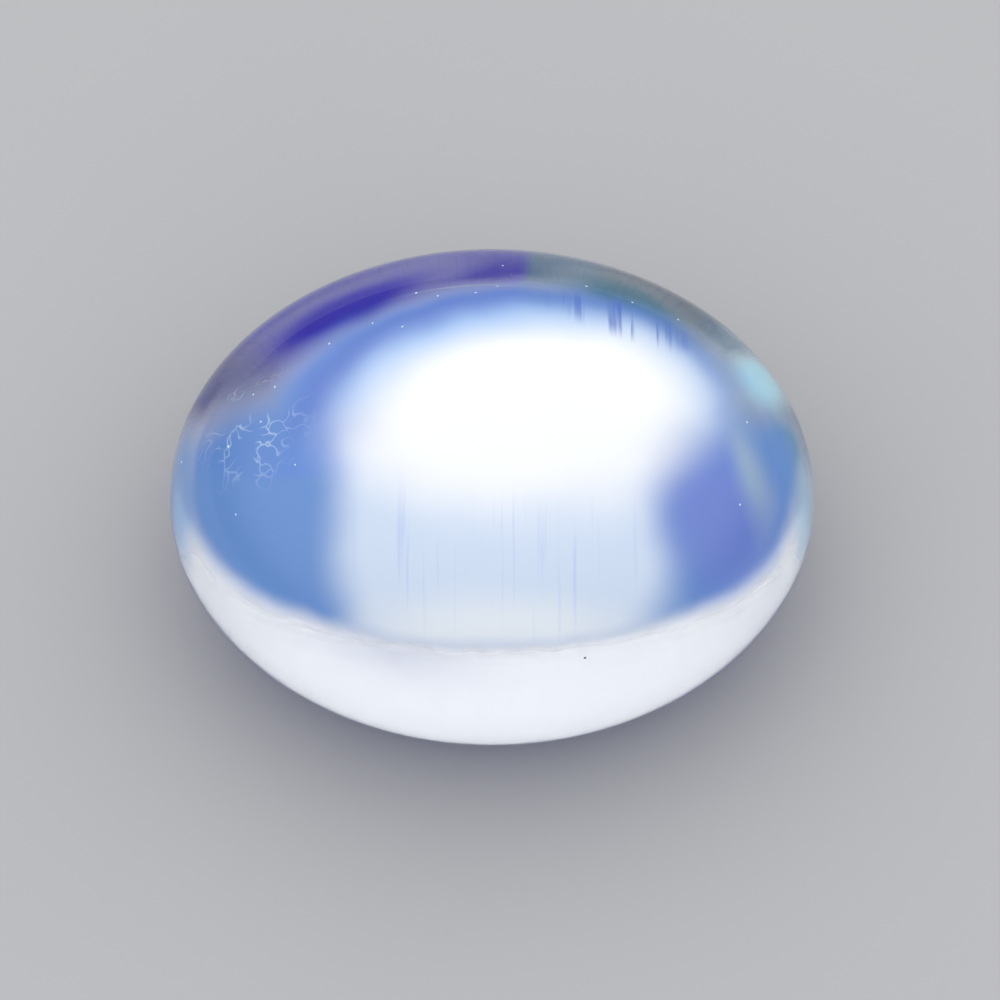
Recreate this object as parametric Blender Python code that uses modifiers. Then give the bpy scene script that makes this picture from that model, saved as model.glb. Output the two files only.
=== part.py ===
"""A polished oval moonstone, cut as a high cabochon.

The stone is one solid piece: an ellipsoid with three unequal axes, longest
along X and shortest along Z, with a flat ground across its underside. It
rests on that flat. The origin is at the middle of the flat, and all lengths
are in metres.
"""

import math

import bpy

# Driving dimensions
LENGTH = 0.0120
WIDTH = 0.0100
DOME_HEIGHT = 0.00366
FLAT_DEPTH = 0.00247
EDGE_BREAK = 0.00008

# Steps round the stone, and down each part of its profile
STEPS_ROUND = 72
STEPS_DOME = 18
STEPS_UNDERSIDE = 8

# Welds the profile's ends on the axis; far below the shortest edge there
WELD = 1e-6
SHARP_ANGLE = math.radians(30)

# Finish
STONE_COLOUR = (0.71, 0.80, 0.94, 1.0)
STONE_ROUGHNESS = 0.06
STONE_TRANSMISSION = 0.6
STONE_IOR = 1.52

# Derived
HALF_LENGTH = LENGTH / 2
GIRDLE_Z = FLAT_DEPTH
TOP_Z = GIRDLE_Z + DOME_HEIGHT


def clear_scene():
    for obj in list(bpy.data.objects):
        bpy.data.objects.remove(obj)


def radius_at(height):
    """Half the stone's length at a height above the flat."""
    rise = (height - GIRDLE_Z) / DOME_HEIGHT
    return HALF_LENGTH * math.sqrt(max(0.0, 1.0 - rise * rise))


def stone_profile():
    """Half outline of the stone in the XZ plane, from the top down to the flat's centre.

    The dome and the underside are arcs of one ellipse, stepped by angle. The
    underside stops at the narrow break that takes the sharp edge off the flat.
    """
    points = []
    for step in range(STEPS_DOME + 1):
        angle = math.pi / 2 * step / STEPS_DOME
        points.append((HALF_LENGTH * math.sin(angle), GIRDLE_Z + DOME_HEIGHT * math.cos(angle)))

    last_angle = math.asin((GIRDLE_Z - EDGE_BREAK) / DOME_HEIGHT)
    for step in range(1, STEPS_UNDERSIDE + 1):
        angle = last_angle * step / STEPS_UNDERSIDE
        points.append((HALF_LENGTH * math.cos(angle), GIRDLE_Z - DOME_HEIGHT * math.sin(angle)))

    points.append((radius_at(0.0) - EDGE_BREAK, 0.0))
    points.append((0.0, 0.0))
    return points


def turned_mesh(name, profile):
    """The profile turned once about Z, as a closed mesh with smooth curved faces."""
    outline = bpy.data.meshes.new(name + "_profile")
    edges = [(i, i + 1) for i in range(len(profile) - 1)]
    outline.from_pydata([(x, 0.0, z) for x, z in profile], edges, [])
    guide = bpy.data.objects.new(name + "_profile", outline)
    bpy.context.scene.collection.objects.link(guide)

    screw = guide.modifiers.new("turn", "SCREW")
    screw.axis = "Z"
    screw.steps = STEPS_ROUND
    screw.render_steps = STEPS_ROUND
    screw.use_merge_vertices = True
    screw.merge_threshold = WELD

    evaluated = guide.evaluated_get(bpy.context.evaluated_depsgraph_get())
    mesh = bpy.data.meshes.new_from_object(evaluated)
    mesh.name = name
    bpy.data.objects.remove(guide)
    bpy.data.meshes.remove(outline)
    mesh.shade_smooth()
    mesh.set_sharp_from_angle(angle=SHARP_ANGLE)
    return mesh


def moonstone_material():
    material = bpy.data.materials.new("moonstone")
    material.use_nodes = True
    surface = material.node_tree.nodes["Principled BSDF"]
    surface.inputs["Base Color"].default_value = STONE_COLOUR
    surface.inputs["Roughness"].default_value = STONE_ROUGHNESS
    surface.inputs["Metallic"].default_value = 0.0
    surface.inputs["Transmission Weight"].default_value = STONE_TRANSMISSION
    surface.inputs["IOR"].default_value = STONE_IOR
    material.diffuse_color = STONE_COLOUR
    return material


def build_moonstone(collection):
    """The turned shape drawn in along Y, which makes the round plan an oval."""
    mesh = turned_mesh("moonstone_cabochon", stone_profile())
    mesh.materials.append(moonstone_material())
    stone = bpy.data.objects.new("moonstone_cabochon", mesh)
    stone.scale.y = WIDTH / LENGTH
    collection.objects.link(stone)
    return stone


def main():
    clear_scene()
    collection = bpy.data.collections.new("polished_moonstone")
    bpy.context.scene.collection.children.link(collection)
    build_moonstone(collection)


main()
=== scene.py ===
"""Looks of the polished moonstone: its finish, colour zones, a glow that is its sheen painted in, and
inclusions, on a pale floor.
"""

import math

import bmesh
import bpy
from mathutils import Matrix, Vector


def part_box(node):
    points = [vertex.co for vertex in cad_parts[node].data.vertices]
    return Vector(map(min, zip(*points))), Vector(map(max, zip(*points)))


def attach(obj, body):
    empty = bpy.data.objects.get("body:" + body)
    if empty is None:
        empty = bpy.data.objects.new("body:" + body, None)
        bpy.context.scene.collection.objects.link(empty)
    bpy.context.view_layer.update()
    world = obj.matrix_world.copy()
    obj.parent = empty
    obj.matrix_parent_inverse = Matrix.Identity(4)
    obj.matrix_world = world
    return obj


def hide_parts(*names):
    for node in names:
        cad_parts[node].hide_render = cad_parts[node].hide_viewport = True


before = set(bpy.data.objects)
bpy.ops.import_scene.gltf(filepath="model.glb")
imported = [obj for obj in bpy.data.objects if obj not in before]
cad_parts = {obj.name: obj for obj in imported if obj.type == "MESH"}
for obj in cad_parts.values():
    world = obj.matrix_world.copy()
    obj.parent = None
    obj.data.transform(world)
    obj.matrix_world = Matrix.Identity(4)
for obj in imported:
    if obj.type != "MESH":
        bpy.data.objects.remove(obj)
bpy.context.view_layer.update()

NODE = "moonstone_cabochon"
BODY = "root"
MM = 0.001

# The stone, from the frame; the widest line and the edge break are the part's own
LOW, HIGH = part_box(NODE)
HALF_LENGTH = (HIGH.x - LOW.x) / 2
HALF_WIDTH = (HIGH.y - LOW.y) / 2
GIRDLE_Z = 2.47 * MM
DOME_HEIGHT = HIGH.z - GIRDLE_Z
EDGE_BREAK = 0.08 * MM
CORNER_WIDTH = 0.01 * MM

# Steps of the fine mesh, and the angle from which an edge is sharp
STEPS_ROUND = 432
STEPS_DOME = 90
STEPS_UNDERSIDE = 40
STEPS_FLAT = 16
SHARP_ANGLE = math.radians(20)

# The photo's view: an ellipse of pixels in a square frame, seen from above. The drop is a last fine
# step that brings the outline to its place.
FRAME_PX = 1000
OUTLINE_CENTRE_PX = (492.0, 497.4)
OUTLINE_WIDTH_PX = 644.8
VIEW_ELEVATION = math.radians(56.0)
VIEW_DISTANCE = 0.180
AIM_DROP = 0.03 * MM
SENSOR_MM = 36.0
CLIP_START = 0.001
CLIP_END = 10.0
MOST_BOUNCES = 8

# Colours are linear
CLEAR = (0.97, 0.975, 0.985, 1.0)
FROSTED = (0.9, 0.92, 0.97, 1.0)
LAPPED = (0.86, 0.90, 0.97, 1.0)
BODY_BLUE = (0.15, 0.33, 0.76, 1.0)
# White of the glow: the stone's sheen, painted into the colour
PAINTED_SHEEN_WHITE = (0.99, 0.99, 0.99, 1.0)
WISP_WHITE = (0.66, 0.80, 0.96, 1.0)
LINE_BLUE = (0.40, 0.52, 0.88, 1.0)
TOOTH_BLUE = (0.07, 0.15, 0.55, 1.0)
SPECK_WHITE = (0.80, 0.90, 0.95)
NICK_DARK = (0.03, 0.04, 0.07)
FLOOR_DARKER = (0.45, 0.45, 0.46, 1.0)
FLOOR_PALER = (0.48, 0.48, 0.49, 1.0)
SKY_COLOUR = (0.98, 0.99, 1.0, 1.0)

# The clear stone: its index, and a faint blue absorption over its length, with the density per metre
STONE_IOR = 1.52
ABSORPTION_COLOUR = (0.92, 0.96, 1.0, 1.0)
ABSORPTION_DENSITY = 30.0

# How much light passes the milky body, and a mark where it covers fully
BODY_PASSING = 0.25
MARK_PASSING = 0.05

# Where the stone is milky: centre and radii in mm, turn about Z in degrees, and the shares of the
# radii between which it fades. The haze holds light back a little further out than the colour.
FRONT_VEIL = ((0.0, -0.65, 4.5), (5.85, 3.90, 9.0), 0, 0.93, 1.0)
FRONT_HAZE = ((0.0, -0.65, 4.5), (5.85, 3.90, 9.0), 0, 0.95, 1.02)
BACK_VEIL = ((0.0, -0.1, 6.0), (4.9, 2.7, 6.0), 10, 0.80, 1.14)

# Y in mm between which the milky front fades out and the painted halos of the sheen fade in, and Z in mm
# between which the underside's colours fade out
FRONT_FADES = (-0.3, 1.4)
PAINTED_HALOS_FADE = (-1.4, 0.2)
UNDER_FADES = (0.2, 0.9)

# Zones of the dome: a name, the same five values, then colour, and how much light passes there
RIM_ZONES = (
    ("cyan rim", (4.95, 1.35, 4.0), (0.75, 1.05, 3.0), -10, 0.3, 1.1, (0.50, 0.84, 0.98, 1.0), 0.25),
    ("steel rim", (5.45, 0.0, 4.0), (0.55, 1.2, 3.0), 0, 0.3, 1.1, (0.16, 0.36, 0.60, 1.0), 0.35),
    ("violet haze", (-2.7, 2.3, 4.8), (3.0, 1.0, 3.0), 27, 0.3, 1.1, (0.035, 0.02, 0.52, 1.0), 0.55),
    ("teal haze", (2.5, 2.5, 4.8), (1.9, 1.0, 3.0), -25, 0.3, 1.1, (0.10, 0.30, 0.42, 1.0), 0.6),
    ("left rim", (-5.8, -0.4, 3.4), (0.6, 1.9, 2.6), 0, 0.3, 1.1, (0.28, 0.47, 0.80, 1.0), 0.30),
    ("right rim", (5.85, -0.9, 3.2), (0.4, 1.3, 2.4), 0, 0.3, 1.1, (0.48, 0.66, 0.84, 1.0), 0.35),
)
FRONT_ZONES = (
    ("pale front", (0.2, -2.5, 4.8), (3.45, 3.8, 6.0), 0, 0.72, 1.06, (0.68, 0.79, 0.97, 1.0), 0.10),
    ("pale lip", (0.1, -4.4, 4.0), (4.4, 0.9, 3.0), 0, 0.3, 1.1, (0.86, 0.92, 0.99, 1.0), 0.10),
    ("periwinkle lobe", (4.2, -1.9, 4.6), (1.45, 2.0, 3.0), 18, 0.2, 1.25, (0.16, 0.25, 0.74, 1.0), 0.22),
    ("cleavage patch", (4.75, -0.8, 4.4), (0.5, 1.5, 3.0), 8, 0.0, 1.1, (0.36, 0.50, 0.70, 1.0), 0.2),
)
# The halos: the blue fringe of the sheen, painted round the glow
PAINTED_HALO_ZONES = (
    ("deep halo", (0.35, -0.1, 6.0), (4.6, 2.75, 6.0), 10, 0.70, 1.02, (0.09, 0.17, 0.60, 1.0), 0.2),
    ("light halo", (0.60, -0.12, 6.0), (4.50, 2.58, 6.0), 11, 0.66, 0.98, (0.34, 0.56, 0.92, 1.0), 0.1),
)
# The glow: the stone's sheen, painted in as white over the milky body
PAINTED_GLOW_ZONES = (
    ("glow", (0.70, -0.30, 6.0), (4.35, 2.35, 6.0), 12, 0.46, 1.02, PAINTED_SHEEN_WHITE, 0.02),
    ("lower glow", (0.6, -1.0, 6.0), (3.3, 2.1, 6.0), 6, 0.25, 1.10, (0.95, 0.96, 0.99, 1.0), 0.03),
)

# Zones of the underside, seen through the clear far side of the dome
UNDER_ZONES = (
    ("teal", (3.3, 3.6, 0.3), (3.4, 2.4, 3.0), 0, 0.90, 1.0, (0.16, 0.46, 0.66, 1.0), 0.1),
    ("grey teal", (2.1, 3.5, 0.3), (0.9, 0.9, 3.0), 0, 0.5, 1.1, (0.12, 0.25, 0.34, 1.0), 0.1),
    ("cyan", (3.1, 2.6, 0.3), (0.6, 0.6, 3.0), 0, 0.5, 1.1, (0.66, 0.95, 1.00, 1.0), 0.1),
    ("steel", (3.6, 1.8, 0.3), (0.5, 0.55, 3.0), 0, 0.5, 1.1, (0.20, 0.44, 0.66, 1.0), 0.1),
    ("violet", (-2.4, 3.6, 0.3), (3.0, 2.4, 3.0), 0, 0.93, 1.0, (0.05, 0.015, 0.95, 1.0), 0.03),
    ("indigo", (-3.45, 2.2, 0.3), (0.95, 0.95, 3.0), 0, 0.5, 1.1, (0.015, 0.025, 0.50, 1.0), 0.02),
)
# The corner's zones end with a lighter stretch along part of the far edge: a frosted edge, partly painted
# lighter as a glint
CORNER_ZONES_AND_GLINT = UNDER_ZONES + (
    ("bright corner", (0.45, 3.7, 0.0), (2.9, 0.9, 1.0), -6, 0.45, 1.1, (0.75, 0.82, 1.00, 1.0), 0.1),
)

# Finishes below the dome: name, roughness, colour, how much light passes, and zones
UNDER_FINISHES = (
    ("polished_side", 0.05, CLEAR, 1.0, UNDER_ZONES),
    ("broken_edge", 0.3, FROSTED, 0.3, UNDER_ZONES),
    ("lapped_flat", 0.10, LAPPED, 0.6, UNDER_ZONES),
    ("frosted_corner", 0.5, FROSTED, 0.2, CORNER_ZONES_AND_GLINT),
)

# The stone's material slots: the dome, then the finishes below it in the same order
DOME = 0
SIDE = 1
EDGE = 2
FLAT = 3
CORNER = 4

# Noise that pushes the zones' outlines about: its scale to the mm, and its full swing in mm
SOFT_PUSH = (0.6, 0.5)
EVEN_PUSH = (1.1, 0.10)
WEB_PUSH = (2.0, 0.9)
UNDER_PUSH = (1.6, 0.3)

# Where marks lie in the dome: centre and radii in mm, turn, inner and outer shares
WISPS = ((-4.3, -0.2, 4.2), (1.2, 1.5, 3.0), 20, 0.3, 1.1)
LINES = ((0.2, -2.6, 4.6), (3.1, 2.0, 3.0), 0, 0.5, 1.1)
TEETH = ((2.4, 1.95, 5.2), (1.6, 0.65, 3.0), -14, 0.4, 1.1)

# How the streaked marks look: noise scale across and along them to the mm, and the noise levels
# where they start and where they are full; then how strongly each mark shows
LINE_STREAKS = (7.0, 0.25, 0.56, 0.72)
TOOTH_STREAKS = (5.2, 0.20, 0.48, 0.62)
LINE_STRENGTH = 0.45
TOOTH_STRENGTH = 0.75
WISP_STRENGTH = 0.55

# The web of wisps: its scale, the reach of a line on that scale, and the patches where it shows
WEB_SCALE = 2.6
WEB_REACH = 0.07
PATCH_SCALE = 1.7
PATCH_LEVELS = (0.42, 0.58)

# Every noise: its octaves, plain or fine, the strength of each against the last, and the levels
# between which most of it lies
PLAIN_DETAIL = 1.0
FINE_DETAIL = 2.0
OCTAVE_STRENGTH = 0.55
NOISE_LEVELS = (0.3, 0.7)

# Roughness of the dome's polish, least and most, and scuffs below it as shares of a finish's own
POLISH_SCALE = 2.2
POLISH_LEVELS = (0.3, 0.75)
POLISH_ROUGHNESS = (0.012, 0.05)
SCUFF_SCALE = 9.0
SCUFF_SHARES = (0.6, 1.5)

# Specks on the polish: X, Y and size of each, in mm
SPECKS = (
    (-5.75, 0.05, 0.05), (-4.85, -0.35, 0.06), (-4.25, -0.1, 0.05), (-4.4, 0.6, 0.045),
    (-4.0, 0.6, 0.05), (-1.65, 1.5, 0.05), (-1.4, 2.45, 0.055), (-1.0, 2.3, 0.045),
    (-0.3, 2.35, 0.045), (0.1, 2.55, 0.035), (1.75, 2.75, 0.05), (2.6, 2.45, 0.045),
    (3.45, 2.25, 0.045), (-3.0, 1.35, 0.05), (-2.2, 1.7, 0.04), (-4.7, -1.7, 0.045),
    (4.7, 0.1, 0.05), (4.55, -1.6, 0.045), (-3.6, -1.2, 0.04), (0.2, 3.3, 0.04),
)
NICK = (1.7, -4.45, 0.055)

# A grain's other sizes as shares of its own, its mesh, and its dull uneven tone
GRAIN_WIDTH = 0.8
GRAIN_THICKNESS = 0.25
GRAIN_SUBDIVISIONS = 2
GRAIN_SCALE = 6.0
GRAIN_SHADES = (0.85, 1.0)
GRAIN_ROUGHNESS = 0.6

# The floor: half its side, the gap under the stone, its clouds and its roughness
FLOOR_HALF = 0.6
FLOOR_GAP = 0.02 * MM
FLOOR_SCALE = 0.08
FLOOR_ROUGHNESS = 0.8

# The soft room: its strength at the horizon and overhead, and what is added behind the stone
HORIZON_STRENGTH = 0.35
OVERHEAD_STRENGTH = 1.15
ADDED_BEHIND = 0.28

# Parts of a unit direction, upwards or backwards, between which the room brightens
OVERHEAD_RISES = (0.10, 0.50)
BEHIND_STARTS = (0.30, 0.85)
BEHIND_RISES = (0.30, 0.60)


class Graph:
    """Adds nodes to a material or world; each method returns the output that holds its result."""

    def __init__(self, owner):
        self.nodes = owner.node_tree.nodes
        self.links = owner.node_tree.links

    def plug(self, value, socket):
        """Links an output to the socket, or sets the socket's own value."""
        if isinstance(value, bpy.types.NodeSocket):
            self.links.new(value, socket)
        else:
            socket.default_value = value

    def math(self, operation, first, second):
        node = self.nodes.new("ShaderNodeMath")
        node.operation = operation
        self.plug(first, node.inputs[0])
        self.plug(second, node.inputs[1])
        return node.outputs[0]

    def times(self, first, second):
        return self.math("MULTIPLY", first, second)

    def vector(self, operation, first, second):
        node = self.nodes.new("ShaderNodeVectorMath")
        node.operation = operation
        self.plug(first, node.inputs[0])
        self.plug(second, node.inputs[1])
        return node.outputs[0]

    def scaled(self, vector, factor):
        return self.vector("MULTIPLY", vector, (factor, factor, factor))

    def length(self, vector):
        node = self.nodes.new("ShaderNodeVectorMath")
        node.operation = "LENGTH"
        self.plug(vector, node.inputs[0])
        return node.outputs["Value"]

    def blend(self, share, first, second):
        """The first colour where share is 0, the second where it is 1."""
        node = self.nodes.new("ShaderNodeMix")
        node.data_type = "RGBA"
        self.plug(share, node.inputs["Factor"])
        self.plug(first, node.inputs[6])
        self.plug(second, node.inputs[7])
        return node.outputs[2]

    def lerp(self, share, first, second):
        """The first number where share is 0, the second where it is 1."""
        node = self.nodes.new("ShaderNodeMix")
        node.data_type = "FLOAT"
        self.plug(share, node.inputs["Factor"])
        self.plug(first, node.inputs[2])
        self.plug(second, node.inputs[3])
        return node.outputs[0]

    def fade(self, value, start, end, at_start=0.0, at_end=1.0):
        """at_start below start, at_end above end, and smooth between them."""
        node = self.nodes.new("ShaderNodeMapRange")
        node.interpolation_type = "SMOOTHSTEP"
        self.plug(value, node.inputs["Value"])
        self.plug(start, node.inputs["From Min"])
        self.plug(end, node.inputs["From Max"])
        self.plug(at_start, node.inputs["To Min"])
        self.plug(at_end, node.inputs["To Max"])
        return node.outputs["Result"]

    def spread(self, value):
        """One value as all three parts of a vector."""
        node = self.nodes.new("ShaderNodeCombineXYZ")
        for socket in node.inputs:
            self.plug(value, socket)
        return node.outputs[0]

    def part(self, vector, axis):
        node = self.nodes.new("ShaderNodeSeparateXYZ")
        self.plug(vector, node.inputs[0])
        return node.outputs[axis]

    def noise(self, place, scale, detail=PLAIN_DETAIL, colour=False):
        node = self.nodes.new("ShaderNodeTexNoise")
        self.plug(place, node.inputs["Vector"])
        node.inputs["Scale"].default_value = scale
        node.inputs["Detail"].default_value = detail
        node.inputs["Roughness"].default_value = OCTAVE_STRENGTH
        return node.outputs["Color" if colour else "Fac"]

    def blob(self, place, centre, radii, turn, inner, outer):
        """1 well inside an ellipsoid, 0 well outside it; inner and outer are shares of its radii."""
        node = self.nodes.new("ShaderNodeMapping")
        node.vector_type = "TEXTURE"
        self.plug(place, node.inputs["Vector"])
        node.inputs["Location"].default_value = centre
        node.inputs["Rotation"].default_value = (0.0, 0.0, math.radians(turn))
        node.inputs["Scale"].default_value = radii
        reach = self.length(node.outputs[0])
        return self.fade(reach, inner, outer, 1.0, 0.0)


def new_material(name):
    material = bpy.data.materials.new(name)
    material.use_nodes = True
    return material, Graph(material), material.node_tree.nodes["Principled BSDF"]


def own_place(graph):
    """Place in the piece in mm, from its own coordinates."""
    coordinates = graph.nodes.new("ShaderNodeTexCoord")
    return graph.scaled(coordinates.outputs["Object"], 1.0 / MM)


def warped(graph, place, scale, swing):
    """The place pushed about by noise, by up to half of swing each way."""
    push = graph.vector("SUBTRACT", graph.noise(place, scale, colour=True), (0.5, 0.5, 0.5))
    return graph.vector("ADD", place, graph.scaled(push, swing))


def lay_zones(graph, place, zones, within, colour, passing):
    """Each zone's colour and clearness laid over the last, where within allows."""
    for _, centre, radii, turn, inner, outer, tint, clear in zones:
        zone = graph.times(graph.blob(place, centre, radii, turn, inner, outer), within)
        colour = graph.blend(zone, colour, tint)
        passing = graph.lerp(zone, passing, clear)
    return colour, passing


def streaks(graph, place, across, along, start, full):
    """Soft lines that run along Y, from noise drawn out that way."""
    stretched = graph.vector("MULTIPLY", place, (across, along, 0.0))
    return graph.fade(graph.noise(stretched, 1.0, FINE_DETAIL), start, full)


def patchy_web(graph, place):
    """A web of fine lines in patches, as partly healed cracks leave in feldspar."""
    node = graph.nodes.new("ShaderNodeTexVoronoi")
    node.feature = "DISTANCE_TO_EDGE"
    graph.plug(warped(graph, place, *WEB_PUSH), node.inputs["Vector"])
    node.inputs["Scale"].default_value = WEB_SCALE
    web = graph.fade(node.outputs["Distance"], 0.0, WEB_REACH, 1.0, 0.0)
    return graph.times(web, graph.fade(graph.noise(place, PATCH_SCALE), *PATCH_LEVELS))


def mark(graph, share, strength, tint, colour, passing):
    """Lays a tint over colour by share times strength, and clouds it as much."""
    cover = graph.times(share, strength)
    return graph.blend(cover, colour, tint), graph.lerp(cover, passing, MARK_PASSING)


def finish_stone(graph, surface, colour, passing, roughness):
    """Plugs in what varies over the stone, and sets its index and the faint absorption inside."""
    graph.plug(colour, surface.inputs["Base Color"])
    graph.plug(passing, surface.inputs["Transmission Weight"])
    graph.plug(roughness, surface.inputs["Roughness"])
    surface.inputs["IOR"].default_value = STONE_IOR
    volume = graph.nodes.new("ShaderNodeVolumeAbsorption")
    volume.inputs["Color"].default_value = ABSORPTION_COLOUR
    volume.inputs["Density"].default_value = ABSORPTION_DENSITY
    graph.plug(volume.outputs[0], graph.nodes["Material Output"].inputs["Volume"])


def dome_finish(name):
    """The polished dome: clear round the rim and at the back, milky with a painted glow between, the
    sheen painted as white with a blue halo.
    """
    material, graph, surface = new_material(name)
    place = own_place(graph)
    soft = warped(graph, place, *SOFT_PUSH)
    even = warped(graph, place, *EVEN_PUSH)
    front = graph.fade(graph.part(soft, "Y"), *FRONT_FADES, 1.0, 0.0)
    inside = graph.math("MAXIMUM", graph.blob(soft, *BACK_VEIL), front)
    milky = graph.times(graph.blob(even, *FRONT_VEIL), inside)
    hazy = graph.times(graph.blob(even, *FRONT_HAZE), inside)
    far = graph.times(milky, graph.fade(graph.part(soft, "Y"), *PAINTED_HALOS_FADE))

    colour, passing = lay_zones(graph, soft, RIM_ZONES, 1.0, CLEAR, 1.0)
    colour = graph.blend(milky, colour, BODY_BLUE)
    passing = graph.lerp(hazy, passing, BODY_PASSING)
    colour, passing = lay_zones(graph, soft, FRONT_ZONES, milky, colour, passing)
    lines = graph.times(streaks(graph, place, *LINE_STREAKS), graph.blob(place, *LINES))
    milky_lines = graph.times(lines, milky)
    colour, passing = mark(graph, milky_lines, LINE_STRENGTH, LINE_BLUE, colour, passing)
    # Painted sheen: a blue halo, then a white glow, laid over the milky body
    colour, passing = lay_zones(graph, soft, PAINTED_HALO_ZONES, far, colour, passing)
    colour, passing = lay_zones(graph, soft, PAINTED_GLOW_ZONES, milky, colour, passing)

    teeth = graph.times(streaks(graph, place, *TOOTH_STREAKS), graph.blob(place, *TEETH))
    colour, passing = mark(graph, teeth, TOOTH_STRENGTH, TOOTH_BLUE, colour, passing)
    wisps = graph.times(patchy_web(graph, place), graph.blob(place, *WISPS))
    colour, passing = mark(graph, wisps, WISP_STRENGTH, WISP_WHITE, colour, passing)

    polish = graph.fade(graph.noise(place, POLISH_SCALE), *POLISH_LEVELS, *POLISH_ROUGHNESS)
    finish_stone(graph, surface, colour, passing, polish)
    return material


def under_finish(name, roughness, body, clear, zones):
    """A finish below the dome, with the colours that show round the flat's far edge."""
    material, graph, surface = new_material(name)
    place = own_place(graph)
    soft = warped(graph, place, *UNDER_PUSH)
    low = graph.fade(graph.part(place, "Z"), *UNDER_FADES, 1.0, 0.0)
    colour, passing = lay_zones(graph, soft, zones, low, body, clear)
    least, most = (share * roughness for share in SCUFF_SHARES)
    scuffs = graph.fade(graph.noise(place, SCUFF_SCALE, FINE_DETAIL), *NOISE_LEVELS, least, most)
    finish_stone(graph, surface, colour, passing, scuffs)
    return material


def grain_finish(name, tint):
    """A dull grain, slightly uneven in tone."""
    material, graph, surface = new_material(name)
    shade = graph.fade(graph.noise(own_place(graph), GRAIN_SCALE), *NOISE_LEVELS, *GRAIN_SHADES)
    graph.plug(graph.vector("MULTIPLY", tint, graph.spread(shade)), surface.inputs["Base Color"])
    surface.inputs["Roughness"].default_value = GRAIN_ROUGHNESS
    return material


def floor_finish(name):
    """Matt and pale, with a faint cloudiness."""
    material, graph, surface = new_material(name)
    cloud = graph.noise(own_place(graph), FLOOR_SCALE)
    graph.plug(graph.blend(cloud, FLOOR_DARKER, FLOOR_PALER), surface.inputs["Base Color"])
    surface.inputs["Roughness"].default_value = FLOOR_ROUGHNESS
    return material


def new_object(name, mesh, materials):
    """Puts the mesh into the scene as an object with these materials."""
    piece = bpy.data.objects.new(name, mesh)
    bpy.context.scene.collection.objects.link(piece)
    for material in materials:
        mesh.materials.append(material)
    return piece


def radius_at(height):
    """Half the length of the ellipsoid's oval at a height."""
    rise = (height - GIRDLE_Z) / DOME_HEIGHT
    return HALF_LENGTH * math.sqrt(1.0 - rise * rise)


def stone_rings():
    """Radius, height and slot of each ring, from under the top of the dome to the flat's middle."""
    rings = []
    for step in range(1, STEPS_DOME + 1):
        angle = math.pi / 2 * step / STEPS_DOME
        rings.append((HALF_LENGTH * math.sin(angle), GIRDLE_Z + DOME_HEIGHT * math.cos(angle), DOME))
    last_angle = math.asin((GIRDLE_Z - EDGE_BREAK) / DOME_HEIGHT)
    for step in range(1, STEPS_UNDERSIDE + 1):
        angle = last_angle * step / STEPS_UNDERSIDE
        rings.append((HALF_LENGTH * math.cos(angle), GIRDLE_Z - DOME_HEIGHT * math.sin(angle), SIDE))
    flat_radius = radius_at(0.0) - EDGE_BREAK
    rings.append((flat_radius + CORNER_WIDTH, CORNER_WIDTH, EDGE))
    rings.append((flat_radius, 0.0, CORNER))
    for step in range(1, STEPS_FLAT):
        rings.append((flat_radius * (1 - step / STEPS_FLAT), 0.0, FLAT))
    return rings


def ring_vertex(ring, step):
    """Index of the vertex at a step of a ring; vertex 0 is the top of the dome."""
    return 1 + ring * STEPS_ROUND + step % STEPS_ROUND


def stone_vertices(rings):
    """The top of the dome, the points of each ring, and the middle of the flat."""
    oval = HALF_WIDTH / HALF_LENGTH
    vertices = [(0.0, 0.0, GIRDLE_Z + DOME_HEIGHT)]
    for radius, height, _ in rings:
        for step in range(STEPS_ROUND):
            angle = 2 * math.pi * step / STEPS_ROUND
            vertices.append((radius * math.cos(angle), oval * radius * math.sin(angle), height))
    vertices.append((0.0, 0.0, 0.0))
    return vertices


def stone_faces(rings, middle):
    """Faces between the rings, with the slot of each; middle is the index of the flat's middle."""
    faces = []
    slots = []
    for step in range(STEPS_ROUND):
        faces.append((0, ring_vertex(0, step), ring_vertex(0, step + 1)))
        slots.append(DOME)
    for ring in range(1, len(rings)):
        for step in range(STEPS_ROUND):
            near = (ring_vertex(ring - 1, step), ring_vertex(ring, step))
            faces.append(near + (ring_vertex(ring, step + 1), ring_vertex(ring - 1, step + 1)))
            slots.append(rings[ring][2])
    last = len(rings) - 1
    for step in range(STEPS_ROUND):
        faces.append((ring_vertex(last, step), middle, ring_vertex(last, step + 1)))
        slots.append(FLAT)
    return faces, slots


def build_stone():
    """The stone as a fine mesh on the same ellipsoid and flat as the solid."""
    rings = stone_rings()
    vertices = stone_vertices(rings)
    faces, slots = stone_faces(rings, len(vertices) - 1)
    mesh = bpy.data.meshes.new("stone")
    mesh.from_pydata(vertices, [], faces)
    mesh.polygons.foreach_set("material_index", slots)
    mesh.shade_smooth()
    mesh.set_sharp_from_angle(angle=SHARP_ANGLE)
    finishes = [dome_finish("polished_dome")]
    for values in UNDER_FINISHES:
        finishes.append(under_finish(*values))
    stone = new_object("stone", mesh, finishes)
    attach(stone, BODY)
    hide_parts(NODE)


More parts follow.
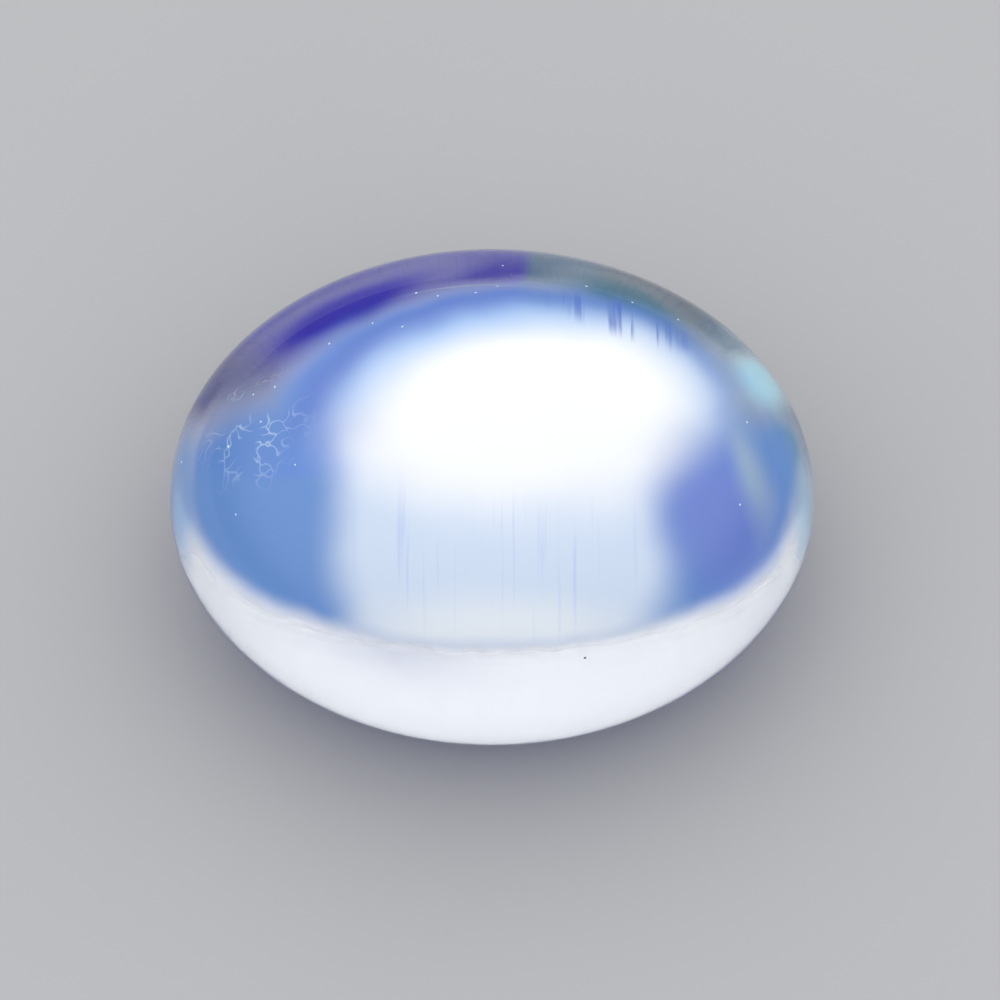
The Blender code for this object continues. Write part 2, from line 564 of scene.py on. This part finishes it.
def build_grains(name, spots, tint):
    """Flat grains set in the polish of the dome, half sunk in its surface."""
    shape = bmesh.new()
    for x_mm, y_mm, size_mm in spots:
        rise = math.sqrt(1 - (x_mm * MM / HALF_LENGTH) ** 2 - (y_mm * MM / HALF_WIDTH) ** 2)
        spot = Vector((x_mm * MM, y_mm * MM, GIRDLE_Z + DOME_HEIGHT * rise))
        facing = Vector((spot.x / HALF_LENGTH ** 2, spot.y / HALF_WIDTH ** 2, rise / DOME_HEIGHT))
        turn = facing.to_track_quat("Z", "Y").to_matrix().to_4x4()
        half = size_mm * MM / 2
        flat = Matrix.Diagonal((half, half * GRAIN_WIDTH, half * GRAIN_THICKNESS, 1.0))
        bmesh.ops.create_icosphere(
            shape,
            subdivisions=GRAIN_SUBDIVISIONS,
            radius=1.0,
            matrix=Matrix.Translation(spot) @ turn @ flat,
        )
    mesh = bpy.data.meshes.new(name)
    shape.to_mesh(mesh)
    shape.free()
    mesh.shade_smooth()
    grains = new_object(name, mesh, [grain_finish(name + "_grain", tint)])
    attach(grains, BODY)


def build_floor():
    """A plain pale floor, just under the stone."""
    half = FLOOR_HALF
    corners = [(-half, -half, 0), (half, -half, 0), (half, half, 0), (-half, half, 0)]
    mesh = bpy.data.meshes.new("floor")
    mesh.from_pydata(corners, [], [(0, 1, 2, 3)])
    floor = new_object("floor", mesh, [floor_finish("pale_floor")])
    floor.location.z = -FLOOR_GAP


def light_scene():
    """A soft room: bright overhead, brighter still behind the stone, dimmer near the horizon."""
    world = bpy.data.worlds.new("soft_room")
    bpy.context.scene.world = world
    world.use_nodes = True
    graph = Graph(world)
    background = world.node_tree.nodes["Background"]
    direction = graph.nodes.new("ShaderNodeTexCoord").outputs["Generated"]
    height = graph.part(direction, "Z")
    overhead = graph.fade(height, *OVERHEAD_RISES, HORIZON_STRENGTH, OVERHEAD_STRENGTH)
    behind = graph.fade(graph.part(direction, "Y"), *BEHIND_STARTS, 0.0, ADDED_BEHIND)
    raised = graph.times(behind, graph.fade(height, *BEHIND_RISES))
    graph.plug(graph.math("ADD", overhead, raised), background.inputs["Strength"])
    background.inputs["Color"].default_value = SKY_COLOUR


def place_camera():
    """A long lens at the photo's height, aimed so that the stone falls where it does there."""
    across = Vector((1.0, 0.0, 0.0))
    up = Vector((0.0, math.sin(VIEW_ELEVATION), math.cos(VIEW_ELEVATION)))
    back = Vector((0.0, -math.cos(VIEW_ELEVATION), math.sin(VIEW_ELEVATION)))
    pixel = 2 * HALF_LENGTH / OUTLINE_WIDTH_PX
    aim = Vector((0.0, 0.0, GIRDLE_Z))
    aim += across * (FRAME_PX / 2 - OUTLINE_CENTRE_PX[0]) * pixel
    aim -= up * ((FRAME_PX / 2 - OUTLINE_CENTRE_PX[1]) * pixel + AIM_DROP)

    lens = bpy.data.cameras.new("photo_view")
    lens.sensor_width = SENSOR_MM
    lens.lens = SENSOR_MM * OUTLINE_WIDTH_PX / FRAME_PX * VIEW_DISTANCE / (2 * HALF_LENGTH)
    lens.clip_start = CLIP_START
    lens.clip_end = CLIP_END
    camera = bpy.data.objects.new("photo_view", lens)
    camera.location = aim + back * VIEW_DISTANCE
    camera.rotation_euler = (-back).to_track_quat("-Z", "Y").to_euler()
    bpy.context.scene.collection.objects.link(camera)
    bpy.context.scene.camera = camera


def set_view():
    """Plain colours, enough bounces for light to cross the stone, and a clean picture."""
    scene = bpy.context.scene
    scene.view_settings.view_transform = "Standard"
    scene.cycles.max_bounces = MOST_BOUNCES
    scene.cycles.transmission_bounces = MOST_BOUNCES
    scene.cycles.use_denoising = True


build_stone()
build_grains("specks", SPECKS, SPECK_WHITE)
build_grains("nick", (NICK,), NICK_DARK)
build_floor()
light_scene()
place_camera()
set_view()
